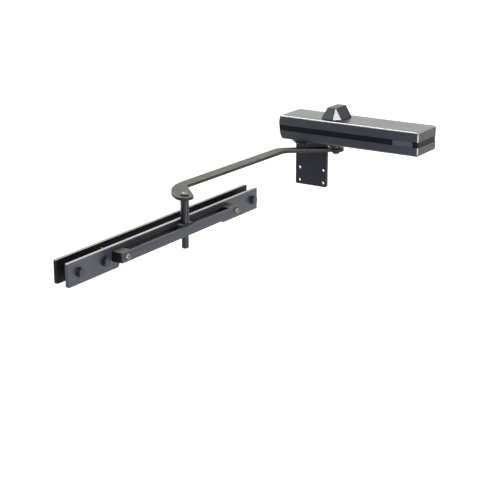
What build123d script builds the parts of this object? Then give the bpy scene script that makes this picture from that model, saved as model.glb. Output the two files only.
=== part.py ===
from build123d import *
import math
import os

# Hydraulic closer on an angle bracket, with a flat cranked arm, a drop pin and a
# slotted track that is bolted between two long flat bars.
# Millimetres. The origin is the centre of the four holes in the bracket's plate, on
# the plate's back face. +X runs along the housing, +Y from the plate's front face to
# its back face and +Z up. The track's bars run along -Y.

# Fits
running_gap = 0.06
slide_gap = 0.2
screw_hole_gap = 0.2
seat_gap = 0.1
part_gap = 0.3

# Angle bracket
plate_width = 68.0
plate_thickness = 6.0
plate_below_holes = 7.5
bend_radius = 8.0
plate_hole_spacing_x = 52.0
plate_hole_spacing_z = 25.0
plate_hole_radius = 3.3
flange_reach = 46.0
flange_corner_cut = 22.0
flange_screw_spacing = 22.0
flange_screw_count = 2
flange_screw_from_edge = 12.0

# Closer housing
housing_bottom_z = 76.0
housing_left_x = -47.5
housing_front_y = -51.0
housing_length = 294.0
housing_depth = 76.0
housing_height = 45.0
shell_wall = 3.0
housing_edge_radius = 3.0
left_end_top_rake = 2.5
left_end_bottom_rake = 7.0
left_end_widest_share = 0.6
housing_lowest_radius = 4.0
housing_corner_radius = 3.6
lower_cover_height = 16.5
band_height = 10.5
band_recess = 0.8
name_plate_length = 40.0
name_plate_from_right = 11.5
name_plate_thickness = 1.1
name_plate_corner = 1.5

# Cast body inside the housing
body_end_clearance = 9.0
body_side_clearance = 3.0
body_clearance_top = 0.5
piston_radius = 15.0
plug_radius = 17.0
plug_thickness = 10.0
plug_socket_width = 12.0
plug_socket_depth = 5.0
ring_section_radius = 0.9
valve_radius = 3.0
valve_length = 14.0
valve_offset_y = 24.0
cover_screw_radius = 2.0
cover_screw_head_radius = 3.5
cover_screw_head_height = 2.2
cover_screw_socket_radius = 1.2
cover_screw_from_end = 36.0
cover_screw_offset_y = 24.5
cover_boss_radius = 4.5
cover_boss_length = 12.0

# Spindle and its bearings
spindle_from_left = 105.5
spindle_radius = 8.0
spindle_square = 11.0
bearing_radius = 12.0
bearing_length = 9.0
boss_radius = 16.0
boss_below = 8.0
boss_above = 5.0
seal_thickness = 3.0
spindle_top_reach = 8.0
spindle_top_chamfer = 1.0

# Rack and pinion
gear_module = 1.5
pinion_teeth = 12
pressure_angle = 25.0
backlash = 0.25
tooth_flank_points = 4
pinion_height = 26.4
window_margin = 1.2
arm_swing = 110.0
piston_head_length = 16.0
spring_wire = 4.0
spring_turns = 16
spring_clearance = 1.2

# Cap over the spindle's upper end
cap_top_x = 17.4
cap_top_y = 40.0
cap_slope_x = 12.3
cap_slope_y = 10.0
cap_skirt = 1.5
cap_slope_height = 20.5
cap_top_corner = 0.4

# Cranked arm
arm_gap_below_housing = 12.5
arm_thickness = 6.0
arm_half_width = 11.0
arm_hub_radius = 15.0
arm_bend_x = -82.0
arm_bend_y = -66.0
arm_bend_fillet = 24.0
arm_bar_end_from_pin_x = -45.0
arm_bar_end_from_pin_y = 72.5
arm_corner_from_pin_x = -35.0
arm_corner_from_pin_y = 55.5
arm_head_radius = 15.0
arm_washer_radius = 10.0
arm_edge = 0.6

# Drop pin and slide block
pin_radius = 6.0
pin_shoulder_radius = 7.2
pin_shoulder_above_block = 0.5
pin_shoulder_chamfer = 0.6
pin_from_bracket = 448.5
pin_below_track = 24.5
pin_tip_radius = 2.5
block_length = 26.0
block_above_track = 2.4
block_above_underside = 2.0
block_chamfer = 0.8
tongue_reach = 1.0
tongue_height = 6.0
groove_depth = 1.2

# Track
track_front_x = 4.0
track_bar_thickness = 3.0
track_slot_width = 15.0
track_height = 17.0
track_length = 331.0
track_left_from_pin = 182.5
track_bottom_z = -3.7
track_block_length = 25.0
track_screw_from_left = 12.5
track_screw_from_right = 8.5

# Long flat bars and the gap that they clamp
clamped_thickness = 16.0
bar_thickness = 6.0
bar_height = 38.0
bar_length = 527.0
bar_left_from_pin = 287.0
front_bar_bottom_z = -17.4
back_bar_bottom_z = -14.7
bar_corner_radius = 1.5
notch_from_left = 123.5
notch_length = 289.5
notch_height = 18.5
notch_corner_radius = 6.0
clamp_bolts_from_left = (25.5, 87.0)
clamp_bolt_from_right = 16.0
spare_hole_from_left = 109.5
spare_hole_above_bar = 29.3
spare_hole_radius = 3.3

# Fasteners: shank radius, head radius or half width across flats, head height
m6_radius = 3.0
m6_button_radius = 5.3
m6_button_height = 3.3
m6_socket_width = 4.0
button_dome_share = 0.8
socket_depth_share = 0.6
m8_radius = 4.0
m8_flats = 13.0
m8_head_height = 5.3
head_bevel_angle = 8.0
thread_end_chamfer = 0.8
m8_nut_height = 6.5
m8_thread_beyond_nut = 3.0
m8_washer_radius = 8.0
washer_thickness = 1.6
m8_button_radius = 7.0
m8_button_height = 4.4
m8_socket_width = 5.0
pin_washer_radius = 7.5
arm_screw_length = 18.0
pin_screw_length = 20.0
tapped_depth = 9.0
valve_slot_width = 1.2

# Places that follow from the sizes above
m8_corner_radius = m8_flats / 2 / math.cos(math.radians(30))
housing_centre_x = housing_left_x + housing_length / 2
housing_right_x = housing_left_x + housing_length
housing_centre_y = housing_front_y + housing_depth / 2
housing_top_z = housing_bottom_z + housing_height
band_bottom_z = housing_bottom_z + lower_cover_height
band_top_z = band_bottom_z + band_height
body_length = housing_length - 2 * (shell_wall + body_end_clearance)
body_depth = housing_depth - 2 * (shell_wall + body_side_clearance)
body_bottom_z = housing_bottom_z + shell_wall
body_top_z = housing_top_z - shell_wall - body_clearance_top
body_left_x = housing_centre_x - body_length / 2
body_right_x = housing_centre_x + body_length / 2
spindle_x = housing_left_x + spindle_from_left
spindle_y = housing_centre_y
axis_z = (body_bottom_z + body_top_z) / 2
boss_bottom_z = housing_bottom_z - boss_below
boss_top_z = housing_top_z + boss_above
lower_seal_z = boss_bottom_z
lower_bearing_z = lower_seal_z + seal_thickness
upper_seal_z = boss_top_z - seal_thickness
upper_bearing_z = upper_seal_z - bearing_length
spindle_top_z = boss_top_z + spindle_top_reach
cap_base_z = housing_top_z
cap_top_z = cap_base_z + cap_skirt + cap_slope_height

arm_top_z = housing_bottom_z - arm_gap_below_housing
arm_bottom_z = arm_top_z - arm_thickness

pitch_radius = gear_module * pinion_teeth / 2
tip_radius = pitch_radius + gear_module
root_radius = pitch_radius - 1.25 * gear_module
rack_root = pitch_radius + 1.25 * gear_module
rack_tip = pitch_radius - gear_module
rack_pitch = math.pi * gear_module
flank_slope = math.tan(math.radians(pressure_angle))
rack_gap_half = rack_pitch / 4 + backlash / 4
rack_gap_tip_half = rack_gap_half + (gear_module + part_gap) * flank_slope
piston_travel = pitch_radius * math.radians(arm_swing)
window_left_x = spindle_x - piston_travel - tip_radius - window_margin
window_right_x = spindle_x + tip_radius + window_margin
piston_left_x = window_left_x - piston_head_length
piston_right_x = window_right_x + piston_head_length
plug_solid_thickness = plug_thickness - 2 * ring_section_radius
spring_left_x = piston_right_x
spring_right_x = body_right_x - plug_solid_thickness
plate_bottom_z = -plate_hole_spacing_z / 2 - plate_below_holes
flange_bottom_z = housing_bottom_z - plate_thickness

slot_back_x = track_front_x + track_bar_thickness
slot_front_x = slot_back_x + track_slot_width
track_outer_x = slot_front_x + track_bar_thickness
pin_x = (slot_back_x + slot_front_x) / 2
pin_y = -pin_from_bracket
pin_bottom_z = track_bottom_z - pin_below_track
track_left_y = pin_y - track_left_from_pin
track_right_y = track_left_y + track_length
track_top_z = track_bottom_z + track_height
track_middle_z = track_bottom_z + track_height / 2
block_half_width = track_slot_width / 2 - slide_gap
block_bottom_z = track_bottom_z + block_above_underside
block_top_z = track_top_z + block_above_track
block_height = block_top_z - block_bottom_z
pin_shoulder_z = block_top_z + pin_shoulder_above_block
arm_bend = (spindle_x + arm_bend_x, spindle_y + arm_bend_y)
arm_bar_end = (pin_x + arm_bar_end_from_pin_x, pin_y + arm_bar_end_from_pin_y)
arm_corner = (pin_x + arm_corner_from_pin_x, pin_y + arm_corner_from_pin_y)
arm_corner_reach = math.hypot(arm_corner_from_pin_x, arm_corner_from_pin_y)
arm_head_inner_angle = math.degrees(
    math.atan2(arm_corner_from_pin_y, arm_corner_from_pin_x) - math.acos(arm_head_radius / arm_corner_reach)
)
track_screw_ys = (track_left_y + track_screw_from_left, track_right_y - track_screw_from_right)

front_plate_x = track_front_x - bar_thickness
back_plate_x = front_plate_x - clamped_thickness - bar_thickness
bar_left_y = pin_y - bar_left_from_pin
notch_middle_y = bar_left_y + notch_from_left + notch_length / 2
front_bar_middle_z = front_bar_bottom_z + bar_height / 2
bar_right_y = bar_left_y + bar_length
clamp_bolt_ys = (
    *(bar_left_y + along for along in clamp_bolts_from_left),
    bar_right_y - clamp_bolt_from_right,
)

os.makedirs("parts", exist_ok=True)


def button_screw(shank_radius, head_radius, head_height, socket_width, length):
    """Button head screw along Z, with the seat of its head at the origin."""
    with BuildPart() as screw:
        Cylinder(head_radius, head_height, align=(Align.CENTER, Align.CENTER, Align.MIN))
        rim = screw.faces().sort_by(Axis.Z)[-1].edges()
        fillet(rim, head_height * button_dome_share)
        with BuildSketch(Plane.XY.offset(head_height)):
            RegularPolygon(socket_width / 2, 6, major_radius=False)
        extrude(amount=-head_height * socket_depth_share, mode=Mode.SUBTRACT)
        with BuildSketch(Plane.XY):
            Circle(shank_radius)
        extrude(amount=-length)
    return screw.part


def hex_bolt(length):
    """Hexagon bolt along Z, with the seat of its head at the origin."""
    with BuildPart() as bolt:
        with BuildSketch(Plane.XY):
            RegularPolygon(m8_flats / 2, 6, major_radius=False)
        extrude(amount=m8_head_height)
        with BuildSketch(Plane.XY):
            Circle(m8_corner_radius)
        extrude(amount=m8_head_height, taper=head_bevel_angle, mode=Mode.INTERSECT)
        with BuildSketch(Plane.XY):
            Circle(m8_radius)
        extrude(amount=-length)
        chamfer(bolt.faces().sort_by(Axis.Z)[0].edges(), thread_end_chamfer)
    return bolt.part


def washer(inner_radius, outer_radius):
    """Flat washer that lies on the XY plane."""
    with BuildPart() as ring:
        with BuildSketch(Plane.XY):
            Circle(outer_radius)
            Circle(inner_radius, mode=Mode.SUBTRACT)
        extrude(amount=washer_thickness)
    return ring.part


def sleeve(inner_radius, outer_radius, height):
    """Plain ring or bush that stands on the XY plane."""
    with BuildPart() as tube:
        with BuildSketch(Plane.XY):
            Circle(outer_radius)
            Circle(inner_radius, mode=Mode.SUBTRACT)
        extrude(amount=height)
    return tube.part


def housing_form(inset):
    """The housing's rounded outer form, drawn in by inset on every side."""
    length = housing_length - 2 * inset
    depth = housing_depth - 2 * inset
    height = housing_height - 2 * inset
    middle = (housing_centre_x, housing_centre_y, housing_bottom_z + housing_height / 2)
    top_left = (left_end_top_rake - length / 2, height / 2)
    widest_left = (-length / 2, height * (left_end_widest_share - 1 / 2))
    bottom_left = (left_end_bottom_rake - length / 2, -height / 2)
    with BuildPart() as form:
        with BuildSketch(Plane(middle, (1, 0, 0), (0, -1, 0))) as profile:
            with BuildLine():
                ThreePointArc(top_left, widest_left, bottom_left)
                Polyline(bottom_left, (length / 2, -height / 2), (length / 2, height / 2), top_left)
            make_face()
            fillet(profile.vertices().group_by(Axis.Y)[0], housing_lowest_radius - inset)
        extrude(amount=depth / 2, both=True)
        upright_edges = form.edges().filter_by(Axis.Z) + form.edges().filter_by(GeomType.CIRCLE).filter_by(
            lambda edge: edge.radius > housing_height / 2
        )
        fillet(upright_edges, housing_corner_radius - inset)
    return form.part


def slab(low_z, high_z):
    """A block that spans the housing between two heights."""
    with BuildPart() as block:
        with BuildSketch(Plane.XY.offset(low_z)):
            with Locations((housing_centre_x, housing_centre_y)):
                Rectangle(2 * housing_length, 2 * housing_depth)
        extrude(amount=high_z - low_z)
    return block.part


def tooth_half_angle(radius):
    """Half the angle that a pinion tooth spans at this radius."""
    base = pitch_radius * math.cos(math.radians(pressure_angle))
    at_radius = math.acos(min(1.0, base / radius))
    at_pitch = math.radians(pressure_angle)
    involute = (math.tan(at_pitch) - at_pitch) - (math.tan(at_radius) - at_radius)
    return math.pi / (2 * pinion_teeth) + involute - backlash / (4 * pitch_radius)


def polar(radius, angle):
    """Point at this radius and angle in radians."""
    return (radius * math.cos(angle), radius * math.sin(angle))


def pinion_outline():
    """Corners of the pinion, with a tooth that points along -Y."""
    base = pitch_radius * math.cos(math.radians(pressure_angle))
    steps = [base + (tip_radius - base) * i / tooth_flank_points for i in range(tooth_flank_points + 1)]
    points = []
    for tooth in range(pinion_teeth):
        middle = -math.pi / 2 + 2 * math.pi * tooth / pinion_teeth
        points.append(polar(root_radius, middle - tooth_half_angle(base)))
        points += [polar(radius, middle - tooth_half_angle(radius)) for radius in steps]
        points += [polar(radius, middle + tooth_half_angle(radius)) for radius in reversed(steps)]
        points.append(polar(root_radius, middle + tooth_half_angle(base)))
    return points


def rack_gap(middle_x):
    """Corners of one space between rack teeth, from the teeth's tips to their roots."""
    root_half = rack_gap_half - (rack_root - pitch_radius) * flank_slope
    tip_y = spindle_y - rack_tip + part_gap
    root_y = spindle_y - rack_root
    return [
        (middle_x - rack_gap_tip_half, tip_y),
        (middle_x - root_half, root_y),
        (middle_x + root_half, root_y),
        (middle_x + rack_gap_tip_half, tip_y),
    ]


def octagon(half_x, half_y, cut_x, cut_y):
    """Corners of a rectangle whose four corners are cut off."""
    return [
        (half_x, -half_y + cut_y),
        (half_x, half_y - cut_y),
        (half_x - cut_x, half_y),
        (-half_x + cut_x, half_y),
        (-half_x, half_y - cut_y),
        (-half_x, -half_y + cut_y),
        (-half_x + cut_x, -half_y),
        (half_x - cut_x, -half_y),
    ]


# Angle bracket: an upright plate and a flange under the housing
with BuildPart() as mounting_bracket:
    with BuildSketch(Plane.YZ.offset(-plate_width / 2)):
        with BuildLine():
            Polyline(
                (0, plate_bottom_z),
                (0, housing_bottom_z),
                (-flange_reach, housing_bottom_z),
                (-flange_reach, flange_bottom_z),
                (-plate_thickness, flange_bottom_z),
                (-plate_thickness, plate_bottom_z),
                close=True,
            )
        make_face()
    extrude(amount=plate_width)
    outer_bend = mounting_bracket.edges().filter_by(Axis.X).group_by(Axis.Z)[-1].sort_by(Axis.Y)[-1]
    fillet(outer_bend, bend_radius)
    flange_corners = mounting_bracket.edges().filter_by(Axis.Z).group_by(Axis.Y)[0]
    chamfer(flange_corners, flange_corner_cut)
    plate_corners = mounting_bracket.edges().filter_by(Axis.Y).group_by(Axis.Z)[0]
    fillet(plate_corners, plate_thickness / 2)
    with Locations(Plane.XZ):
        with GridLocations(plate_hole_spacing_x, plate_hole_spacing_z, 2, 2):
            Hole(plate_hole_radius)
    with Locations((0, flange_screw_from_edge - flange_reach, housing_bottom_z)):
        with GridLocations(flange_screw_spacing, 1, flange_screw_count, 1):
            Hole(m6_radius + screw_hole_gap, depth=plate_thickness)
mounting_bracket.part.label = "mounting_bracket"
export_step(mounting_bracket.part, "parts/mounting_bracket.step")

# Screws that hold the housing on the flange, put in from below
flange_screw = button_screw(
    m6_radius, m6_button_radius, m6_button_height, m6_socket_width,
    plate_thickness + shell_wall + tapped_depth,
)
flange_screw_y = flange_screw_from_edge - flange_reach
with BuildPart() as flange_screws:
    with Locations(Location((0, flange_screw_y, flange_bottom_z), (180, 0, 0))):
        with GridLocations(flange_screw_spacing, 1, flange_screw_count, 1):
            add(flange_screw)
flange_screws.part.label = "flange_screws"
export_step(flange_screws.part, "parts/flange_screws.step")

# Corner places of the four long screws that hold the covers on the body
cover_screw_spots = [
    (x, spindle_y + side * cover_screw_offset_y)
    for x in (body_left_x + cover_screw_from_end, body_right_x - cover_screw_from_end)
    for side in (-1, 1)
]
cover_screw_seat_z = housing_bottom_z + cover_screw_head_height
cover_boss_bottom_z = housing_top_z - shell_wall - cover_boss_length

# Cast body: a long bore for the piston and a cross bore for the spindle
with BuildPart() as closer_body:
    with BuildSketch(Plane.XY.offset(body_bottom_z)):
        with Locations((housing_centre_x, spindle_y)):
            RectangleRounded(body_length, body_depth, housing_corner_radius)
    extrude(amount=body_top_z - body_bottom_z)
    with BuildSketch(Plane.XY.offset(boss_bottom_z)):
        with Locations((spindle_x, spindle_y)):
            Circle(boss_radius)
    extrude(amount=boss_top_z - boss_bottom_z)
    with BuildSketch(Plane.YZ.offset(body_left_x)):
        with Locations((spindle_y, axis_z)):
            Circle(piston_radius)
    extrude(amount=body_length, mode=Mode.SUBTRACT)
    with BuildSketch(Plane.YZ.offset(body_left_x)):
        with Locations((spindle_y, axis_z)):
            Circle(plug_radius)
        with Locations((spindle_y - valve_offset_y, axis_z), (spindle_y + valve_offset_y, axis_z)):
            Circle(valve_radius + seat_gap)
    extrude(amount=plug_thickness, mode=Mode.SUBTRACT)
    with BuildSketch(Plane.YZ.offset(body_left_x)):
        with Locations((spindle_y - valve_offset_y, axis_z), (spindle_y + valve_offset_y, axis_z)):
            Circle(valve_radius + seat_gap)
    extrude(amount=valve_length + part_gap, mode=Mode.SUBTRACT)
    with BuildSketch(Plane.YZ.offset(body_right_x - plug_thickness)):
        with Locations((spindle_y, axis_z)):
            Circle(plug_radius)
    extrude(amount=plug_thickness, mode=Mode.SUBTRACT)
    with BuildSketch(Plane.XY.offset(boss_bottom_z)):
        with Locations((spindle_x, spindle_y)):
            Circle(bearing_radius)
    extrude(amount=seal_thickness + bearing_length, mode=Mode.SUBTRACT)
    with BuildSketch(Plane.XY.offset(upper_bearing_z)):
        with Locations((spindle_x, spindle_y)):
            Circle(bearing_radius)
    extrude(amount=seal_thickness + bearing_length, mode=Mode.SUBTRACT)
    with BuildSketch(Plane.XY.offset(boss_bottom_z)):
        with Locations((spindle_x, spindle_y)):
            Circle(tip_radius + part_gap)
    extrude(amount=boss_top_z - boss_bottom_z, mode=Mode.SUBTRACT)
    with BuildSketch(Plane.XY.offset(body_bottom_z)):
        with Locations((0, flange_screw_y)):
            with GridLocations(flange_screw_spacing, 1, flange_screw_count, 1):
                Circle(m6_radius + seat_gap)
    extrude(amount=tapped_depth + part_gap, mode=Mode.SUBTRACT)
    with BuildSketch(Plane.XY.offset(body_bottom_z)):
        with Locations(*cover_screw_spots):
            Circle(cover_screw_radius + screw_hole_gap)
    extrude(amount=body_top_z - body_bottom_z, mode=Mode.SUBTRACT)
    with BuildSketch(Plane.XY.offset(cover_boss_bottom_z - part_gap)):
        with Locations(*cover_screw_spots):
            Circle(cover_boss_radius + part_gap)
    extrude(amount=cover_boss_length, mode=Mode.SUBTRACT)
closer_body.part.label = "closer_body"
export_step(closer_body.part, "parts/closer_body.step")

# Covers round the cast body, with a recessed band between them
outer_form = housing_form(0)
cavity_form = housing_form(shell_wall)
boss_hole_radius = boss_radius + part_gap

with BuildPart() as top_cover:
    add(outer_form)
    fillet(top_cover.faces().sort_by(Axis.Z)[-1].edges(), housing_edge_radius)
    add(slab(band_top_z, housing_top_z), mode=Mode.INTERSECT)
    add(cavity_form, mode=Mode.SUBTRACT)
    with BuildSketch(Plane.XY.offset(cover_boss_bottom_z)):
        with Locations(*cover_screw_spots):
            Circle(cover_boss_radius)
    extrude(amount=cover_boss_length)
    with BuildSketch(Plane.XY.offset(cover_boss_bottom_z)):
        with Locations(*cover_screw_spots):
            Circle(cover_screw_radius + seat_gap)
    extrude(amount=tapped_depth + part_gap, mode=Mode.SUBTRACT)
    with BuildSketch(Plane.XY.offset(band_top_z)):
        with Locations((spindle_x, spindle_y)):
            Circle(boss_hole_radius)
    extrude(amount=housing_top_z - band_top_z, mode=Mode.SUBTRACT)
top_cover.part.label = "top_cover"
export_step(top_cover.part, "parts/top_cover.step")

with BuildPart() as lower_cover:
    add(outer_form)
    add(slab(housing_bottom_z, band_bottom_z), mode=Mode.INTERSECT)
    add(cavity_form, mode=Mode.SUBTRACT)
    with BuildSketch(Plane.XY.offset(housing_bottom_z)):
        with Locations((spindle_x, spindle_y)):
            Circle(boss_hole_radius)
        with Locations((0, flange_screw_y)):
            with GridLocations(flange_screw_spacing, 1, flange_screw_count, 1):
                Circle(m6_radius + screw_hole_gap)
        with Locations(*cover_screw_spots):
            Circle(cover_screw_radius + screw_hole_gap)
    extrude(amount=shell_wall, mode=Mode.SUBTRACT)
    with BuildSketch(Plane.XY.offset(housing_bottom_z)):
        with Locations(*cover_screw_spots):
            Circle(cover_screw_head_radius + seat_gap)
    extrude(amount=cover_screw_head_height, mode=Mode.SUBTRACT)
lower_cover.part.label = "lower_cover"
export_step(lower_cover.part, "parts/lower_cover.step")

with BuildPart() as trim_band:
    add(housing_form(band_recess))
    add(slab(band_bottom_z, band_top_z), mode=Mode.INTERSECT)
    add(cavity_form, mode=Mode.SUBTRACT)
trim_band.part.label = "trim_band"
export_step(trim_band.part, "parts/trim_band.step")

# Bare plate on the band, near the housing's right end
with BuildPart() as name_plate:
    plate_middle = (
        housing_right_x - name_plate_from_right - name_plate_length / 2,
        housing_front_y + band_recess,
        (band_bottom_z + band_top_z) / 2,
    )
    with BuildSketch(Plane(plate_middle, (1, 0, 0), (0, -1, 0))):
        RectangleRounded(name_plate_length, band_height - 2 * part_gap, name_plate_corner)
    extrude(amount=name_plate_thickness)
name_plate.part.label = "name_plate"
export_step(name_plate.part, "parts/name_plate.step")

# Long screws through the lower cover and the body into the top cover's bosses
with BuildPart() as cover_screws:
    with BuildSketch(Plane.XY.offset(housing_bottom_z)):
        with Locations(*cover_screw_spots):
            Circle(cover_screw_head_radius)
    extrude(amount=cover_screw_head_height)
    with BuildSketch(Plane.XY.offset(cover_screw_seat_z)):
        with Locations(*cover_screw_spots):
            Circle(cover_screw_radius)
    extrude(amount=cover_boss_bottom_z + tapped_depth - cover_screw_seat_z)
    with BuildSketch(Plane.XY.offset(housing_bottom_z)):
        with Locations(*cover_screw_spots):
            RegularPolygon(cover_screw_socket_radius, 6)
    extrude(amount=cover_screw_head_height * socket_depth_share, mode=Mode.SUBTRACT)
cover_screws.part.label = "cover_screws"
export_step(cover_screws.part, "parts/cover_screws.step")


def end_plug(face_x, outward):
    """Screwed plug of the piston bore, its outer face flush with the body's end."""
    with BuildPart() as plug:
        with BuildSketch(Plane((face_x, spindle_y, axis_z), (0, 1, 0), (-outward, 0, 0))):
            Circle(plug_radius - seat_gap)
        extrude(amount=plug_solid_thickness)
        with BuildSketch(Plane((face_x, spindle_y, axis_z), (0, 1, 0), (-outward, 0, 0))):
            RegularPolygon(plug_socket_width / 2, 6, major_radius=False)
        extrude(amount=plug_socket_depth, mode=Mode.SUBTRACT)
    return plug.part


left_end_plug = end_plug(body_left_x, -1)
left_end_plug.label = "left_end_plug"
export_step(left_end_plug, "parts/left_end_plug.step")
right_end_plug = end_plug(body_right_x, 1)
right_end_plug.label = "right_end_plug"
export_step(right_end_plug, "parts/right_end_plug.step")

# Ring seals between the plugs and the shoulders of the bore
with BuildPart() as plug_rings:
    ring_centre_radius = (piston_radius + plug_radius) / 2
    for ring_x in (body_left_x + plug_thickness, body_right_x - plug_thickness):
        towards_end = math.copysign(ring_section_radius, ring_x - housing_centre_x)
        with Locations(Location((ring_x + towards_end, spindle_y, axis_z), (0, 90, 0))):
            Torus(ring_centre_radius, ring_section_radius - seat_gap / 2)
plug_rings.part.label = "plug_rings"
export_step(plug_rings.part, "parts/plug_rings.step")

# Regulating valves in the body's left end
with BuildPart() as regulating_valves:
    for side in (-1, 1):
        valve_y = spindle_y + side * valve_offset_y
        with BuildSketch(Plane.YZ.offset(body_left_x)):
            with Locations((valve_y, axis_z)):
                Circle(valve_radius)
        extrude(amount=valve_length)
        with BuildSketch(Plane.YZ.offset(body_left_x)):
            with Locations((valve_y, axis_z)):
                Rectangle(valve_radius * 2, valve_slot_width)
        extrude(amount=valve_slot_width, mode=Mode.SUBTRACT)
regulating_valves.part.label = "regulating_valves"
export_step(regulating_valves.part, "parts/regulating_valves.step")

# Bushes and shaft seals of the spindle
lower_bearing = sleeve(spindle_radius + running_gap, bearing_radius - seat_gap / 2, bearing_length)
upper_bearing = sleeve(spindle_radius + running_gap, bearing_radius - seat_gap / 2, bearing_length)
lower_shaft_seal = sleeve(spindle_radius + running_gap, bearing_radius - seat_gap / 2, seal_thickness)
upper_shaft_seal = sleeve(spindle_radius + running_gap, bearing_radius - seat_gap / 2, seal_thickness)
spindle_rings = (
    (lower_bearing, "lower_bearing", lower_bearing_z),
    (upper_bearing, "upper_bearing", upper_bearing_z),
    (lower_shaft_seal, "lower_shaft_seal", lower_seal_z),
    (upper_shaft_seal, "upper_shaft_seal", upper_seal_z),
)
for ring, ring_name, ring_z in spindle_rings:
    with BuildPart() as placed_ring:
        with Locations((spindle_x, spindle_y, ring_z)):
            add(ring)
    placed_ring.part.label = ring_name
    export_step(placed_ring.part, f"parts/{ring_name}.step")

# Spindle with its pinion; its squared lower end carries the arm
pinion_bottom_z = axis_z - pinion_height / 2
pinion_top_z = axis_z + pinion_height / 2
lower_collar_z = lower_bearing_z + bearing_length + part_gap
upper_collar_z = upper_bearing_z - part_gap
with BuildPart() as pinion_spindle:
    with BuildSketch(Plane.XY.offset(upper_collar_z)):
        with Locations((spindle_x, spindle_y)):
            Circle(spindle_radius)
    extrude(amount=spindle_top_z - upper_collar_z)
    chamfer(pinion_spindle.faces().sort_by(Axis.Z)[-1].edges(), spindle_top_chamfer)
    with BuildSketch(Plane.XY.offset(arm_top_z)):
        with Locations((spindle_x, spindle_y)):
            Circle(spindle_radius)
    extrude(amount=lower_collar_z - arm_top_z)
    with BuildSketch(Plane.XY.offset(pinion_bottom_z)):
        with Locations((spindle_x, spindle_y)):
            Polygon(*pinion_outline(), align=None)
    extrude(amount=pinion_height)
    with BuildSketch(Plane.XY.offset(lower_collar_z)):
        with Locations((spindle_x, spindle_y)):
            Circle(tip_radius)
    extrude(amount=pinion_bottom_z - lower_collar_z)
    with BuildSketch(Plane.XY.offset(pinion_top_z)):
        with Locations((spindle_x, spindle_y)):
            Circle(tip_radius)
    extrude(amount=upper_collar_z - pinion_top_z)
    with BuildSketch(Plane.XY.offset(arm_bottom_z + part_gap)):
        with Locations((spindle_x, spindle_y)):
            Rectangle(spindle_square, spindle_square)
    extrude(amount=arm_thickness - part_gap)
    with BuildSketch(Plane.XY.offset(arm_bottom_z)):
        with Locations((spindle_x, spindle_y)):
            Circle(m8_radius + seat_gap)
    extrude(amount=arm_screw_length, mode=Mode.SUBTRACT)
pinion_spindle.part.label = "pinion_spindle"
export_step(pinion_spindle.part, "parts/pinion_spindle.step")

# Piston with a window for the pinion and a rack along one side of it
with BuildPart() as rack_piston:
    with BuildSketch(Plane.YZ.offset(piston_left_x)):
        with Locations((spindle_y, axis_z)):
            Circle(piston_radius - running_gap)
    extrude(amount=piston_right_x - piston_left_x)
    with BuildSketch(Plane.XY.offset(axis_z)):
        with BuildLine():
            Polyline(
                (window_left_x, spindle_y - rack_tip),
                (window_right_x, spindle_y - rack_tip),
                (window_right_x, spindle_y + rack_root),
                (window_left_x, spindle_y + rack_root),
                close=True,
            )
        make_face()
    extrude(amount=piston_radius, both=True, mode=Mode.SUBTRACT)
    gaps_left = int((spindle_x - window_left_x - rack_gap_tip_half) / rack_pitch)
    gaps_right = int((window_right_x - spindle_x - rack_gap_tip_half) / rack_pitch)
    with BuildSketch(Plane.XY.offset(axis_z)):
        for gap in range(-gaps_left, gaps_right + 1):
            Polygon(*rack_gap(spindle_x + gap * rack_pitch), align=None)
    extrude(amount=piston_radius, both=True, mode=Mode.SUBTRACT)
rack_piston.part.label = "rack_piston"
export_step(rack_piston.part, "parts/rack_piston.step")

# Closing spring between the piston and the right plug
spring_radius = piston_radius - spring_clearance - spring_wire / 2
spring_span = spring_right_x - spring_left_x - spring_wire - 2 * part_gap
with BuildPart() as main_spring:
    with BuildLine() as spring_line:
        Helix(
            spring_span / spring_turns,
            spring_span,
            spring_radius,
            center=(spring_left_x + spring_wire / 2 + part_gap, spindle_y, axis_z),
            direction=(1, 0, 0),
        )
    with BuildSketch(Plane(spring_line.line @ 0, z_dir=spring_line.line % 0)):
        Circle(spring_wire / 2)
    sweep()
main_spring.part.label = "main_spring"
export_step(main_spring.part, "parts/main_spring.step")

# Hollow faceted cap over the spindle's upper end
with BuildPart() as spindle_cap:
    cap_half_x = cap_top_x / 2 + cap_slope_x
    cap_half_y = cap_top_y / 2 + cap_slope_y
    with BuildSketch(Plane.XY.offset(cap_base_z)):
        with Locations((spindle_x, spindle_y)):
            Polygon(*octagon(cap_half_x, cap_half_y, cap_slope_x, cap_slope_y), align=None)
    extrude(amount=cap_skirt)
    with BuildSketch(Plane.XY.offset(cap_base_z + cap_skirt)):
        with Locations((spindle_x, spindle_y)):
            Polygon(*octagon(cap_half_x, cap_half_y, cap_slope_x, cap_slope_y), align=None)
    with BuildSketch(Plane.XY.offset(cap_top_z)):
        with Locations((spindle_x, spindle_y)):
            Polygon(*octagon(cap_top_x / 2, cap_top_y / 2, cap_top_corner, cap_top_corner), align=None)
    loft(ruled=True)
    with BuildSketch(Plane.XY.offset(cap_base_z)):
        with Locations((spindle_x, spindle_y)):
            Circle(boss_radius + part_gap)
    extrude(amount=boss_above + part_gap, mode=Mode.SUBTRACT)
    with BuildSketch(Plane.XY.offset(cap_base_z)):
        with Locations((spindle_x, spindle_y)):
            Circle(spindle_radius + part_gap)
    extrude(amount=spindle_top_z + part_gap - cap_base_z, mode=Mode.SUBTRACT)
spindle_cap.part.label = "spindle_cap"
export_step(spindle_cap.part, "parts/spindle_cap.step")


def head_point(angle):
    """Point on the rim of the arm's round head at this angle in degrees."""
    x, y = polar(arm_head_radius, math.radians(angle))
    return (pin_x + x, pin_y + y)


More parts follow.
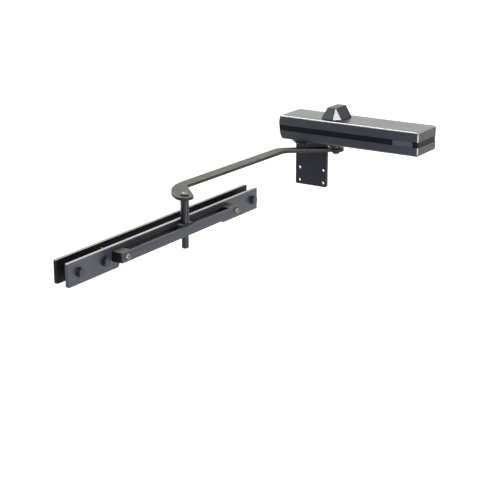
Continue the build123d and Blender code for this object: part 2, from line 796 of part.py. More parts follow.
def crossing(first, along_first, second, along_second):
    """Point where two lines in the plan cross, each given by a point and a direction."""
    spread = along_first.X * along_second.Y - along_first.Y * along_second.X
    between = second - first
    reach = (between.X * along_second.Y - between.Y * along_second.X) / spread
    return first + along_first * reach


def right_of(direction):
    """Direction that points to the right of this one in the plan."""
    return Vector(direction.Y, -direction.X)


# Cranked flat arm: a hub, a leg at 45 degrees, a long bar and a hooked head
hub_centre = Vector(spindle_x, spindle_y)
bend_centre = Vector(*arm_bend)
bar_end = Vector(*arm_bar_end)
leg_along = (bend_centre - hub_centre).normalized()
bar_along = (bar_end - bend_centre).normalized()
leg_side = right_of(leg_along) * arm_half_width
bar_side = right_of(bar_along) * arm_half_width
far_end = bar_end + bar_side
pin_centre = Vector(pin_x, pin_y)
inward = bar_side.normalized() * -1
end_from_pin = far_end - pin_centre
sweep_radius = (arm_head_radius**2 - end_from_pin.dot(end_from_pin)) / (
    2 * (inward.dot(end_from_pin) + arm_head_radius)
)
sweep_centre = far_end + inward * sweep_radius
sweep_to_pin = pin_centre - sweep_centre
arm_head_outer_angle = math.degrees(math.atan2(sweep_to_pin.Y, sweep_to_pin.X))
far_bend = crossing(hub_centre + leg_side, leg_along, bend_centre + bar_side, bar_along)
near_bend = crossing(hub_centre - leg_side, leg_along, bend_centre - bar_side, bar_along)
with BuildPart() as arm:
    with BuildSketch(Plane.XY.offset(arm_bottom_z)) as arm_outline:
        with BuildLine():
            Polyline(hub_centre - leg_side, hub_centre + leg_side, far_bend, far_end)
            TangentArc(far_end, head_point(arm_head_outer_angle), tangent=bar_along)
            ThreePointArc(
                head_point(arm_head_outer_angle),
                head_point((arm_head_outer_angle + arm_head_inner_angle) / 2),
                head_point(arm_head_inner_angle),
            )
            Polyline(head_point(arm_head_inner_angle), arm_corner, near_bend, hub_centre - leg_side)
        make_face()
        for corner in (far_bend, near_bend):
            fillet(arm_outline.vertices().sort_by_distance(corner)[0], arm_bend_fillet)
    extrude(amount=arm_thickness)
    flat_faces = arm.faces().sort_by(Axis.Z)
    chamfer(flat_faces[-1].edges(), arm_edge)
    with BuildSketch(Plane.XY.offset(arm_bottom_z)):
        with Locations(hub_centre):
            Circle(arm_hub_radius)
    extrude(amount=arm_thickness)
    with BuildSketch(Plane.XY.offset(arm_bottom_z)):
        with Locations(hub_centre):
            Rectangle(spindle_square + 2 * seat_gap, spindle_square + 2 * seat_gap)
        with Locations((pin_x, pin_y)):
            Circle(m6_radius + screw_hole_gap)
    extrude(amount=arm_thickness, mode=Mode.SUBTRACT)
arm.part.label = "arm"
export_step(arm.part, "parts/arm.step")

# Screw and washer that hold the arm on the spindle's squared end
with BuildPart() as arm_washer:
    with Locations((spindle_x, spindle_y, arm_bottom_z - washer_thickness)):
        add(washer(m8_radius + screw_hole_gap, arm_washer_radius))
arm_washer.part.label = "arm_washer"
export_step(arm_washer.part, "parts/arm_washer.step")
with BuildPart() as arm_screw:
    with Locations(Location((spindle_x, spindle_y, arm_bottom_z - washer_thickness), (180, 0, 0))):
        add(button_screw(m8_radius, m8_button_radius, m8_button_height, m8_socket_width, arm_screw_length))
arm_screw.part.label = "arm_screw"
export_step(arm_screw.part, "parts/arm_screw.step")

# Stepped pin that drops from the arm's head through the slide block
with BuildPart() as drop_pin:
    with BuildSketch(Plane.XY.offset(pin_shoulder_z)):
        with Locations((pin_x, pin_y)):
            Circle(pin_shoulder_radius)
    extrude(amount=arm_bottom_z - pin_shoulder_z)
    chamfer(drop_pin.faces().sort_by(Axis.Z)[0].edges(), pin_shoulder_chamfer)
    with BuildSketch(Plane.XY.offset(pin_bottom_z)):
        with Locations((pin_x, pin_y)):
            Circle(pin_radius)
    extrude(amount=arm_bottom_z - pin_bottom_z)
    fillet(drop_pin.faces().sort_by(Axis.Z)[0].edges(), pin_tip_radius)
    with BuildSketch(Plane.XY.offset(arm_bottom_z)):
        with Locations((pin_x, pin_y)):
            Circle(m6_radius + seat_gap)
    extrude(amount=arm_thickness + washer_thickness - pin_screw_length - part_gap, mode=Mode.SUBTRACT)
drop_pin.part.label = "drop_pin"
export_step(drop_pin.part, "parts/drop_pin.step")
with BuildPart() as pin_washer:
    with Locations((pin_x, pin_y, arm_top_z)):
        add(washer(m6_radius + screw_hole_gap, pin_washer_radius))
pin_washer.part.label = "pin_washer"
export_step(pin_washer.part, "parts/pin_washer.step")
with BuildPart() as pin_screw:
    with Locations((pin_x, pin_y, arm_top_z + washer_thickness)):
        add(button_screw(m6_radius, m6_button_radius, m6_button_height, m6_socket_width, pin_screw_length))
pin_screw.part.label = "pin_screw"
export_step(pin_screw.part, "parts/pin_screw.step")

# Block that the pin carries along the slot, with a tongue on each side
with BuildPart() as slide_block:
    with BuildSketch(Plane.XY.offset(block_bottom_z)):
        with Locations((pin_x, pin_y)):
            Rectangle(2 * block_half_width, block_length)
    extrude(amount=block_height)
    chamfer(slide_block.faces().sort_by(Axis.Z)[-1].edges(), block_chamfer)
    with BuildSketch(Plane.XY.offset(track_middle_z - tongue_height / 2)):
        with Locations((pin_x, pin_y)):
            Rectangle(2 * (block_half_width + tongue_reach), block_length)
    extrude(amount=tongue_height)
    with BuildSketch(Plane.XY.offset(block_bottom_z)):
        with Locations((pin_x, pin_y)):
            Circle(pin_radius + running_gap)
    extrude(amount=block_height, mode=Mode.SUBTRACT)
slide_block.part.label = "slide_block"
export_step(slide_block.part, "parts/slide_block.step")


def track_bar(inner_x, outward):
    """Side bar of the track, with a groove for the block's tongue on its inner face."""
    with BuildPart() as bar:
        with BuildSketch(Plane.YZ.offset(inner_x)):
            with Locations(((track_left_y + track_right_y) / 2, track_middle_z)):
                Rectangle(track_length, track_height)
        extrude(amount=outward * track_bar_thickness)
        with BuildSketch(Plane.YZ.offset(inner_x)):
            with Locations(((track_left_y + track_right_y) / 2, track_middle_z)):
                Rectangle(track_length - 2 * track_block_length, tongue_height + 2 * slide_gap)
        extrude(amount=outward * groove_depth, mode=Mode.SUBTRACT)
        with BuildSketch(Plane.YZ.offset(inner_x)):
            with Locations(*[(y, track_middle_z) for y in track_screw_ys]):
                Circle(m6_radius + screw_hole_gap)
        extrude(amount=outward * track_bar_thickness, mode=Mode.SUBTRACT)
    return bar.part


track_front_bar = track_bar(slot_front_x, 1)
track_front_bar.label = "track_front_bar"
export_step(track_front_bar, "parts/track_front_bar.step")
track_back_bar = track_bar(slot_back_x, -1)
track_back_bar.label = "track_back_bar"
export_step(track_back_bar, "parts/track_back_bar.step")

# Blocks that close the slot's ends and carry the screws
track_blocks = (
    (track_left_y + track_block_length / 2, track_screw_ys[0], "track_left_block"),
    (track_right_y - track_block_length / 2, track_screw_ys[1], "track_right_block"),
)
for block_y, screw_y, block_name in track_blocks:
    with BuildPart() as track_block:
        with BuildSketch(Plane.YZ.offset(slot_back_x)):
            with Locations((block_y, track_middle_z)):
                Rectangle(track_block_length, track_height)
            with Locations((screw_y, track_middle_z)):
                Circle(m6_radius + screw_hole_gap, mode=Mode.SUBTRACT)
        extrude(amount=track_slot_width)
    track_block.part.label = block_name
    export_step(track_block.part, f"parts/{block_name}.step")

# Screws through the track's end blocks into the front plate
with BuildPart() as track_screws:
    with Locations(*[Location((track_outer_x, y, track_middle_z), (0, 90, 0)) for y in track_screw_ys]):
        add(button_screw(
            m6_radius, m6_button_radius, m6_button_height, m6_socket_width,
            track_outer_x - front_plate_x,
        ))
track_screws.part.label = "track_screws"
export_step(track_screws.part, "parts/track_screws.step")


def clamp_plate(face_x, bottom_z):
    """Long flat bar with the holes of the clamp bolts, its back face at face_x."""
    with BuildPart() as plate:
        with BuildSketch(Plane.YZ.offset(face_x)):
            with Locations((bar_left_y + bar_length / 2, bottom_z + bar_height / 2)):
                RectangleRounded(bar_length, bar_height, bar_corner_radius)
            with Locations(*[(y, front_bar_middle_z) for y in clamp_bolt_ys]):
                Circle(m8_radius + screw_hole_gap, mode=Mode.SUBTRACT)
        extrude(amount=bar_thickness)
    return plate.part


# Front plate, notched from below behind the track and drilled for the track's screws
with BuildPart() as front_plate:
    add(clamp_plate(front_plate_x, front_bar_bottom_z))
    with BuildSketch(Plane.YZ.offset(front_plate_x)):
        with Locations((notch_middle_y, front_bar_bottom_z + notch_height / 2)):
            Rectangle(notch_length, notch_height)
    extrude(amount=bar_thickness, mode=Mode.SUBTRACT)
    lowest_edges = front_plate.edges().filter_by(Axis.X).group_by(Axis.Z)[0].sort_by(Axis.Y)
    fillet(lowest_edges, notch_corner_radius)
    with BuildSketch(Plane.YZ.offset(front_plate_x)):
        with Locations(*[(y, track_middle_z) for y in track_screw_ys]):
            Circle(m6_radius + seat_gap)
    extrude(amount=bar_thickness, mode=Mode.SUBTRACT)
front_plate.part.label = "front_plate"
export_step(front_plate.part, "parts/front_plate.step")

with BuildPart() as back_plate:
    add(clamp_plate(back_plate_x, back_bar_bottom_z))
    with BuildSketch(Plane.YZ.offset(back_plate_x)):
        with Locations((bar_left_y + spare_hole_from_left, back_bar_bottom_z + spare_hole_above_bar)):
            Circle(spare_hole_radius)
    extrude(amount=bar_thickness, mode=Mode.SUBTRACT)
back_plate.part.label = "back_plate"
export_step(back_plate.part, "parts/back_plate.step")

# Three bolts with washers and nuts that pull the two plates together
bolt_seat_x = track_front_x + washer_thickness
nut_seat_x = back_plate_x - washer_thickness
bolt_length = bolt_seat_x - nut_seat_x + m8_nut_height + m8_thread_beyond_nut
with BuildPart() as clamp_bolts:
    with Locations(*[Location((bolt_seat_x, y, front_bar_middle_z), (0, 90, 0)) for y in clamp_bolt_ys]):
        add(hex_bolt(bolt_length))
clamp_bolts.part.label = "clamp_bolts"
export_step(clamp_bolts.part, "parts/clamp_bolts.step")
with BuildPart() as clamp_washers:
    washer_spots = [
        Location((x, y, front_bar_middle_z), (0, 90, 0))
        for x in (track_front_x, nut_seat_x)
        for y in clamp_bolt_ys
    ]
    with Locations(*washer_spots):
        add(washer(m8_radius + screw_hole_gap, m8_washer_radius))
clamp_washers.part.label = "clamp_washers"
export_step(clamp_washers.part, "parts/clamp_washers.step")
with BuildPart() as clamp_nuts:
    with BuildSketch(Plane.YZ.offset(nut_seat_x)):
        with Locations(*[(y, front_bar_middle_z) for y in clamp_bolt_ys]):
            RegularPolygon(m8_flats / 2, 6, major_radius=False)
            Circle(m8_radius + seat_gap, mode=Mode.SUBTRACT)
    extrude(amount=-m8_nut_height)
clamp_nuts.part.label = "clamp_nuts"
export_step(clamp_nuts.part, "parts/clamp_nuts.step")
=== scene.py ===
import bpy
from mathutils import Matrix, Vector


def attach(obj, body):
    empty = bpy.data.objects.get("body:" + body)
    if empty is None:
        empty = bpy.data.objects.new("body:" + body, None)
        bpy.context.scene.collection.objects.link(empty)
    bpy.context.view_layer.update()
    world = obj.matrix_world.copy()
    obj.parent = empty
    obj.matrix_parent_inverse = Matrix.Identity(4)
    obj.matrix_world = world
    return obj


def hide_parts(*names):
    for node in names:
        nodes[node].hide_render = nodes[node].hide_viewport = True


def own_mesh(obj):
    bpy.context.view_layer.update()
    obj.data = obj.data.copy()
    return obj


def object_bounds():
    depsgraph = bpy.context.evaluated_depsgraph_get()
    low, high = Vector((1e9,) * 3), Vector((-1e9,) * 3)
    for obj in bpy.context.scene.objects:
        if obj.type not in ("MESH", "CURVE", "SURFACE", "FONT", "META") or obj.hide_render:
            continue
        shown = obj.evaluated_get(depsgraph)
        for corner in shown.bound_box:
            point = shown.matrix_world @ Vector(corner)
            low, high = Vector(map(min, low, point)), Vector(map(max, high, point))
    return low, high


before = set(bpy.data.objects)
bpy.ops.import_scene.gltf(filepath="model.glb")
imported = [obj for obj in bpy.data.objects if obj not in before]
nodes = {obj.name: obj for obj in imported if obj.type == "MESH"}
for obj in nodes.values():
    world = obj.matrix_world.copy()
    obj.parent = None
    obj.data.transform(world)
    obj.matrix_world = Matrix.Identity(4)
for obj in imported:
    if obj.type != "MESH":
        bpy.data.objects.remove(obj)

cad_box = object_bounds()
scene = bpy.context.scene
MM = 0.001

# Camera at the photo's angle, for a square frame
CAMERA_AT = Vector((1.2366, -2.1611, 0.6336))
CAMERA_RIGHT = Vector((0.84273, 0.53834, 0.0))
CAMERA_UP = Vector((-0.16250, 0.25438, 0.95335))
CAMERA_LENS = 94.97
SENSOR_WIDTH = 36.0
VIEW_DEPTH = 100.0

# Floor and surroundings
FLOOR_DROP = 0.40
FLOOR_REACH = 12.0
FLOOR_GREY = 0.8
FLOOR_GLOW = 0.45
AMBIENT_COLOUR = (0.97, 0.98, 1.0, 1.0)
AMBIENT_LEVEL = 0.25
BACKDROP_LEVEL = 1.0
WHITE = (1.0, 1.0, 1.0, 1.0)

# Part of a noise's range over which colours and numbers run
NOISE_LOW = 0.3
NOISE_HIGH = 0.7

# Where painted highlights go, drawn as rubbed coat turning to bare metal: how their edge fades, and how far a
# normal leans off an axis on a rounded edge
TILT_FADE = 0.1
EDGE_NONE = 0.985
EDGE_FULL = 0.90
# Light colours of the painted highlights on coats and covers, drawn as rubbed bare metal
PAINTED_HIGHLIGHT_COAT = (0.66, 0.64, 0.55)
PAINTED_HIGHLIGHT_COVER = (0.70, 0.70, 0.62)

# Rounded edges of cut plates and fasteners
WELD_DISTANCE = 0.00001
EDGE_SEGMENTS = 2
EDGE_ANGLE = 0.6

camera_data = bpy.data.cameras.new("camera")
camera_data.lens = CAMERA_LENS
camera_data.sensor_width = SENSOR_WIDTH
camera_data.sensor_fit = "HORIZONTAL"
camera_data.clip_end = VIEW_DEPTH
camera = bpy.data.objects.new("camera", camera_data)
scene.collection.objects.link(camera)
turn = Matrix((CAMERA_RIGHT, CAMERA_UP, CAMERA_RIGHT.cross(CAMERA_UP))).transposed()
camera.matrix_world = Matrix.Translation(CAMERA_AT) @ turn.to_4x4()
scene.camera = camera
scene.view_settings.view_transform = "Standard"


def new_material(name):
    """A node material, its node tree and its shader."""
    material = bpy.data.materials.new(name)
    material.use_nodes = True
    tree = material.node_tree
    tree.nodes.clear()
    output = tree.nodes.new("ShaderNodeOutputMaterial")
    shader = tree.nodes.new("ShaderNodeBsdfPrincipled")
    tree.links.new(shader.outputs["BSDF"], output.inputs["Surface"])
    return material, tree, shader


def add_node(tree, kind, values=None, **links):
    """Adds a node, sets its socket values and links its inputs from other sockets."""
    node = tree.nodes.new(kind)
    for socket, value in (values or {}).items():
        node.inputs[socket].default_value = value
    for socket, source in links.items():
        tree.links.new(source, node.inputs[socket.replace("_", " ")])
    return node


def noise(tree, scale, detail=3.0, stretch=(1.0, 1.0, 1.0)):
    """Noise in the object's own coordinates, in metres, drawn out along an axis by stretch."""
    place = add_node(tree, "ShaderNodeTexCoord")
    mapping = add_node(tree, "ShaderNodeMapping", {"Scale": stretch}, Vector=place.outputs["Object"])
    return add_node(
        tree, "ShaderNodeTexNoise", {"Scale": scale, "Detail": detail}, Vector=mapping.outputs["Vector"]
    ).outputs["Fac"]


def between(tree, factor, low, high):
    """A number that runs from low to high as the factor runs over the middle of a noise."""
    ends = {"From Min": NOISE_LOW, "From Max": NOISE_HIGH, "To Min": low, "To Max": high}
    return add_node(tree, "ShaderNodeMapRange", ends, Value=factor).outputs["Result"]


def tint(tree, factor, colour, lowest, highest):
    """The colour times lowest to highest, as the factor runs over the middle of a noise."""
    ramp = tree.nodes.new("ShaderNodeValToRGB")
    for element, position, share in zip(
        ramp.color_ramp.elements, (NOISE_LOW, NOISE_HIGH), (lowest, highest)
    ):
        element.position = position
        element.color = (*(share * c for c in colour), 1.0)
    tree.links.new(factor, ramp.inputs["Fac"])
    return ramp.outputs["Color"]


def bump(tree, height, strength, distance, after=None):
    """A bump of this height field, on top of another one if it is given."""
    node = add_node(tree, "ShaderNodeBump", {"Strength": strength, "Distance": distance}, Height=height)
    if after is not None:
        tree.links.new(after, node.inputs["Normal"])
    return node.outputs["Normal"]


def arithmetic(tree, operation, first, second=0.0):
    """The result of this operation on two sockets, or on a socket and a number."""
    node = add_node(tree, "ShaderNodeMath")
    node.operation = operation
    for index, value in enumerate((first, second)):
        if isinstance(value, (int, float)):
            node.inputs[index].default_value = value
        else:
            tree.links.new(value, node.inputs[index])
    return node.outputs[0]


def normal_parts(tree):
    """The sockets of the surface normal's X, Y and Z parts, in the object's own axes."""
    facing = add_node(tree, "ShaderNodeTexCoord")
    return add_node(tree, "ShaderNodeSeparateXYZ", Vector=facing.outputs["Normal"]).outputs


def paint_highlight(tree, shader, coat, highlight_colour, strength, lowest_tilt, edges_only=True):
    """Painted highlight, drawn as rubbed bare metal: the coat turns light and metallic on what looks up this
    much, on rounded edges or everywhere.
    """
    parts = normal_parts(tree)
    upward = add_node(
        tree, "ShaderNodeMapRange",
        {"From Min": lowest_tilt - TILT_FADE, "From Max": lowest_tilt + TILT_FADE}, Value=parts["Z"],
    )
    patches = between(tree, noise(tree, 160.0), 0.8, 1.0)
    amount = arithmetic(tree, "MULTIPLY", upward.outputs["Result"], patches)
    if edges_only:
        along_x, along_y, along_z = (arithmetic(tree, "ABSOLUTE", parts[axis]) for axis in "XYZ")
        largest = arithmetic(tree, "MAXIMUM", arithmetic(tree, "MAXIMUM", along_x, along_y), along_z)
        rounded = add_node(
            tree, "ShaderNodeMapRange", {"From Min": EDGE_NONE, "From Max": EDGE_FULL}, Value=largest
        )
        amount = arithmetic(tree, "MULTIPLY", amount, rounded.outputs["Result"])
    amount = arithmetic(tree, "MULTIPLY", amount, strength)
    mix = add_node(tree, "ShaderNodeMix")
    mix.data_type = "RGBA"
    factor, under, over = (mix.inputs[index] for index in (0, 6, 7))
    over.default_value = (*highlight_colour, 1.0)
    tree.links.new(amount, factor)
    tree.links.new(coat, under)
    tree.links.new(mix.outputs[2], shader.inputs["Base Color"])
    tree.links.new(amount, shader.inputs["Metallic"])


def colour_coat(tree, shader, colour, cloud_scale, spread, highlight_colour, painted_highlight):
    """The coat's clouded colour, with a painted highlight drawn as rubbed metal if the last argument gives
    its strength, tilt and kind.
    """
    coat = tint(tree, noise(tree, cloud_scale), colour, 1.0 - spread, 1.0 + spread)
    if painted_highlight:
        paint_highlight(tree, shader, coat, highlight_colour, *painted_highlight)
    else:
        tree.links.new(coat, shader.inputs["Base Color"])


def powder_coat(name, colour, roughness, specular=0.5, grain=0.12, painted_highlight=None):
    """Satin powder coat: fine orange peel, faint cloudiness, uneven gloss and perhaps a painted highlight
    drawn as rubbed places.
    """
    material, tree, shader = new_material(name)
    colour_coat(tree, shader, colour, 22.0, 0.12, PAINTED_HIGHLIGHT_COAT, painted_highlight)
    gloss = between(tree, noise(tree, 60.0), roughness - 0.03, roughness + 0.03)
    tree.links.new(gloss, shader.inputs["Roughness"])
    peel = noise(tree, 1500.0, detail=1.0)
    tree.links.new(bump(tree, peel, grain, 0.2 * MM), shader.inputs["Normal"])
    shader.inputs["Specular IOR Level"].default_value = specular
    return material


def satin_cover(name, colour, roughness, specular, upright_roughness=None, painted_highlight=None):
    """Satin lacquered metal: faint streaks along the housing, and smoother upright faces if asked for."""
    material, tree, shader = new_material(name)
    colour_coat(tree, shader, colour, 9.0, 0.10, PAINTED_HIGHLIGHT_COVER, painted_highlight)
    streak = noise(tree, 1.0, detail=4.0, stretch=(14.0, 900.0, 900.0))
    gloss = between(tree, streak, roughness - 0.05, roughness + 0.05)
    if upright_roughness is not None:
        flat = add_node(
            tree, "ShaderNodeMapRange", {"From Min": 0.7, "From Max": 0.95}, Value=normal_parts(tree)["Z"]
        )
        smooth = between(tree, streak, upright_roughness - 0.03, upright_roughness + 0.03)
        choice = add_node(tree, "ShaderNodeMix")
        for index, source in ((0, flat.outputs["Result"]), (2, smooth), (3, gloss)):
            tree.links.new(source, choice.inputs[index])
        gloss = choice.outputs[0]
    tree.links.new(gloss, shader.inputs["Roughness"])
    fine = bump(tree, streak, 0.10, 0.1 * MM)
    peel = noise(tree, 1700.0, detail=1.0)
    tree.links.new(bump(tree, peel, 0.06, 0.2 * MM, after=fine), shader.inputs["Normal"])
    shader.inputs["Specular IOR Level"].default_value = specular
    return material


def plastic(name, colour, roughness, specular=0.5):
    """Moulded plastic or rubber: a fine spark-eroded grain and a slightly uneven gloss."""
    material, tree, shader = new_material(name)
    tree.links.new(tint(tree, noise(tree, 30.0), colour, 0.9, 1.1), shader.inputs["Base Color"])
    gloss = between(tree, noise(tree, 120.0), roughness - 0.04, roughness + 0.04)
    tree.links.new(gloss, shader.inputs["Roughness"])
    grain = noise(tree, 2600.0, detail=1.0)
    tree.links.new(bump(tree, grain, 0.10, 0.1 * MM), shader.inputs["Normal"])
    shader.inputs["Specular IOR Level"].default_value = specular
    return material


def bare_metal(name, colour, roughness, scale, stretch=(1.0, 1.0, 1.0), strength=0.15):
    """Machined or sintered metal: tool marks drawn out along an axis, and light smudges."""
    material, tree, shader = new_material(name)
    smudge = noise(tree, 45.0)
    tree.links.new(tint(tree, smudge, colour, 0.82, 1.0), shader.inputs["Base Color"])
    gloss = between(tree, smudge, roughness + 0.06, roughness - 0.04)
    tree.links.new(gloss, shader.inputs["Roughness"])
    marks = noise(tree, scale, stretch=stretch)
    tree.links.new(bump(tree, marks, strength, 0.1 * MM), shader.inputs["Normal"])
    shader.inputs["Metallic"].default_value = 1.0
    return material


# Finishes of the nodes: colour, roughness, then what sets each apart
# Housing covers: the rounded top and upright edges carry a painted highlight, drawn as rubbed bare metal
cover = satin_cover("cover", (0.022, 0.025, 0.041), 0.33, 0.41, painted_highlight=(0.50, -0.15))
cap_coat = satin_cover("cap_coat", (0.017, 0.019, 0.022), 0.42, 0.28, upright_roughness=0.17)
band = plastic("band", (0.005, 0.0055, 0.0095), 0.36, 0.10)
label = powder_coat("label", (0.054, 0.058, 0.074), 0.30, specular=0.35)
bracket_coat = powder_coat("bracket_coat", (0.010, 0.012, 0.019), 0.45, specular=0.22)
# Front plate: a lighter copy of the bar's coat as painted light, with a painted highlight drawn as rubbed
# metal on its upward faces
lit_plate_coat = powder_coat(
    "lit_plate_coat", (0.043, 0.046, 0.068), 0.32, specular=0.45, grain=0.03, painted_highlight=(0.50, 0.5, False)
)
# Back plate: the plates' coat painted much darker as painted shade, with a painted highlight drawn as rubbed
# metal on its upward faces
shaded_back_coat = powder_coat("shaded_back_coat", (0.006, 0.006, 0.008), 0.45, specular=0.12, painted_highlight=(0.50, 0.5, False))
bar_coat = powder_coat("bar_coat", (0.036, 0.039, 0.060), 0.32, specular=0.42, grain=0.03)
# Track end blocks and back bar: a darker coat, painted shade on the back bar, with a faint painted highlight
# drawn as rubbed metal on upward faces
end_and_shaded_bar_coat = powder_coat("end_and_shaded_bar_coat", (0.008, 0.008, 0.010), 0.40, specular=0.22, painted_highlight=(0.10, 0.5, False))
# Arm: its rounded upper edges carry a painted highlight, drawn as rubbed bare metal
arm_coat = powder_coat("arm_coat", (0.026, 0.025, 0.023), 0.42, specular=0.20, painted_highlight=(0.40, 0.4))
bolts = powder_coat("black_bolts", (0.008, 0.008, 0.010), 0.34, specular=0.3)
bolt_heads = powder_coat("bolt_heads", (0.026, 0.028, 0.038), 0.32, specular=0.45)
# Pin screw and track screws: their upward faces turn to light bare metal, partly rubbed coat and partly a
# painted highlight
rubbed_and_highlit_bolts = powder_coat("rubbed_and_highlit_bolts", (0.014, 0.014, 0.016), 0.30, grain=0.1, painted_highlight=(0.42, -0.3, False))
pin_coat = powder_coat("pin_coat", (0.008, 0.009, 0.017), 0.32, specular=0.34, grain=0.03)
block = plastic("block", (0.020, 0.020, 0.022), 0.42)
cast = powder_coat("cast_alloy", (0.030, 0.031, 0.034), 0.45, specular=0.35, grain=0.35)
steel = bare_metal("bright_steel", (0.55, 0.55, 0.56), 0.26, 1400.0, stretch=(0.04, 1.0, 1.0))
dark_steel = bare_metal("dark_steel", (0.16, 0.16, 0.17), 0.36, 900.0)
brass = bare_metal("brass", (0.72, 0.52, 0.22), 0.28, 1400.0, stretch=(0.05, 1.0, 1.0))
bronze = bare_metal("bush_bronze", (0.55, 0.36, 0.18), 0.42, 1600.0, strength=0.4)
rubber = plastic("seal_rubber", (0.012, 0.012, 0.012), 0.62)

finishes = {
    cover: ("top_cover", "lower_cover"),
    cap_coat: ("spindle_cap",),
    band: ("trim_band",),
    label: ("name_plate",),
    bracket_coat: ("mounting_bracket",),
    bar_coat: ("track_front_bar",),
    end_and_shaded_bar_coat: ("track_back_bar", "track_left_block", "track_right_block"),
    lit_plate_coat: ("front_plate",),
    shaded_back_coat: ("back_plate",),
    arm_coat: ("arm",),
    bolts: ("flange_screws", "cover_screws", "arm_screw", "arm_washer", "pin_washer", "clamp_washers"),
    bolt_heads: ("clamp_bolts", "clamp_nuts"),
    rubbed_and_highlit_bolts: ("pin_screw", "track_screws"),
    pin_coat: ("drop_pin",),
    block: ("slide_block",),
    cast: ("closer_body",),
    steel: ("left_end_plug", "right_end_plug", "rack_piston"),
    dark_steel: ("main_spring", "pinion_spindle"),
    brass: ("regulating_valves",),
    bronze: ("lower_bearing", "upper_bearing"),
    rubber: ("plug_rings", "lower_shaft_seal", "upper_shaft_seal"),
}
for material, names in finishes.items():
    for name in names:
        mesh = nodes[name].data
        mesh.materials.clear()
        mesh.materials.append(material)

# Small rounded edges catch the light on the cut plates and fasteners; widths in millimetres
edge_widths = {
    0.6: ("front_plate", "back_plate", "track_front_bar", "track_back_bar", "mounting_bracket"),
    0.5: ("track_left_block", "track_right_block", "slide_block", "spindle_cap"),
    0.3: ("clamp_bolts", "clamp_nuts", "clamp_washers", "pin_washer", "arm_washer", "arm"),
}
for width, names in edge_widths.items():
    for name in names:
        piece = nodes[name]
        weld = piece.modifiers.new("weld", "WELD")
        weld.merge_threshold = WELD_DISTANCE
        bevel = piece.modifiers.new("edge", "BEVEL")
        bevel.width = width * MM
        bevel.segments = EDGE_SEGMENTS
        bevel.limit_method = "ANGLE"
        bevel.angle_limit = EDGE_ANGLE
        bevel.harden_normals = True

# The closing spring: its own copy of the spring, hung on the piston so that it moves with it
spring = bpy.data.objects.new("closing_spring", nodes["main_spring"].data.copy())
scene.collection.objects.link(spring)
spring.matrix_world = nodes["main_spring"].matrix_world.copy()
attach(spring, "piston")
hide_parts("main_spring")
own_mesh(spring)


def seen_in_picture(tree):
    """1 for rays from the camera and for those that metal or glass sends on, else 0."""
    ray = tree.nodes.new("ShaderNodeLightPath")
    seen = arithmetic(tree, "MAXIMUM", ray.outputs["Is Camera Ray"], ray.outputs["Is Glossy Ray"])
    return arithmetic(tree, "MAXIMUM", seen, ray.outputs["Is Transmission Ray"])


# Plain pale floor that fills the view
floor_z = cad_box[0][2] - FLOOR_DROP
floor_mesh = bpy.data.meshes.new("floor")
floor_mesh.from_pydata(
    [
        (-FLOOR_REACH, -FLOOR_REACH, floor_z), (FLOOR_REACH, -FLOOR_REACH, floor_z),
        (FLOOR_REACH, FLOOR_REACH, floor_z), (-FLOOR_REACH, FLOOR_REACH, floor_z),
    ],
    [], [(0, 1, 2, 3)],
)
floor = bpy.data.objects.new("floor", floor_mesh)
scene.collection.objects.link(floor)
floor_material = bpy.data.materials.new("floor")
floor_material.use_nodes = True
floor_tree = floor_material.node_tree
floor_tree.nodes.clear()
floor_output = floor_tree.nodes.new("ShaderNodeOutputMaterial")
floor_diffuse = add_node(floor_tree, "ShaderNodeBsdfDiffuse", {"Color": (FLOOR_GREY,) * 3 + (1.0,)})
glow_level = arithmetic(floor_tree, "MULTIPLY", seen_in_picture(floor_tree), FLOOR_GLOW)
floor_glow = add_node(floor_tree, "ShaderNodeEmission", {"Color": WHITE}, Strength=glow_level)
floor_sum = floor_tree.nodes.new("ShaderNodeAddShader")
floor_tree.links.new(floor_diffuse.outputs[0], floor_sum.inputs[0])
floor_tree.links.new(floor_glow.outputs[0], floor_sum.inputs[1])
floor_tree.links.new(floor_sum.outputs[0], floor_output.inputs["Surface"])
floor_mesh.materials.append(floor_material)

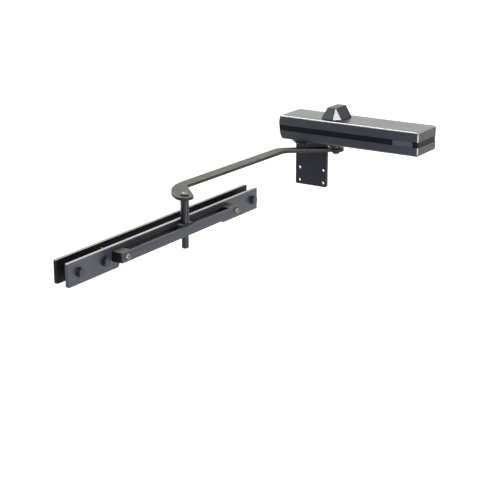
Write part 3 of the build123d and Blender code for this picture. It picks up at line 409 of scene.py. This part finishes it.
# White behind the object, and a dimmer even light from all round
world = bpy.data.worlds.new("world")
scene.world = world
world.use_nodes = True
world_tree = world.node_tree
world_tree.nodes.clear()
world_output = world_tree.nodes.new("ShaderNodeOutputWorld")
ambient = add_node(
    world_tree, "ShaderNodeBackground", {"Color": AMBIENT_COLOUR, "Strength": AMBIENT_LEVEL}
)
backdrop = add_node(world_tree, "ShaderNodeBackground", {"Color": WHITE, "Strength": BACKDROP_LEVEL})
world_mix = world_tree.nodes.new("ShaderNodeMixShader")
world_tree.links.new(seen_in_picture(world_tree), world_mix.inputs["Fac"])
world_tree.links.new(ambient.outputs[0], world_mix.inputs[1])
world_tree.links.new(backdrop.outputs[0], world_mix.inputs[2])
world_tree.links.new(world_mix.outputs[0], world_output.inputs["Surface"])


def hang(lamp, colour, direction, at=(0.0, 0.0, 0.0)):
    """Puts a lamp of this colour in the scene, shining along this direction."""
    lamp.color = colour
    holder = bpy.data.objects.new(lamp.name, lamp)
    holder.location = at
    holder.rotation_mode = "QUATERNION"
    holder.rotation_quaternion = direction.to_track_quat("-Z", "Y")
    scene.collection.objects.link(holder)


def sun(name, strength, angle, towards, colour=(1.0, 1.0, 1.0)):
    """A soft distant lamp that shines along this direction."""
    lamp = bpy.data.lights.new(name, "SUN")
    lamp.energy = strength
    lamp.angle = angle
    hang(lamp, colour, Vector(towards))


def softbox(name, at, aim, size, power, colour=(1.0, 1.0, 1.0)):
    """A rectangular lamp at a place, aimed at a point."""
    lamp = bpy.data.lights.new(name, "AREA")
    lamp.shape = "RECTANGLE"
    lamp.size, lamp.size_y = size
    lamp.energy = power
    hang(lamp, colour, Vector(aim) - Vector(at), at)


# Even soft light, with lamps that the housing's top, the cap's facet and the right side mirror
cap_middle = (0.058, -0.013, 0.13)
sun("key", 2.4, 0.40, towards=(0.51, -0.14, -0.85), colour=(1.0, 0.99, 0.93))
softbox(
    "sheen", at=(-1.44, 2.40, 1.00), aim=(0.1, 0.0, 0.1), size=(2.0, 0.8), power=5.5,
    colour=(0.97, 1.0, 0.81),
)
softbox(
    "facet", at=(1.816, -1.448, 1.396), aim=cap_middle, size=(0.35, 0.35), power=22.0,
    colour=(0.95, 0.97, 1.0),
)
softbox("fill", at=(-1.12, -1.74, 1.50), aim=cap_middle, size=(0.8, 0.8), power=5.5)
softbox("strip", at=(1.45, -0.82, -0.30), aim=(0.2, -0.1, 0.05), size=(0.20, 0.60), power=8.0)
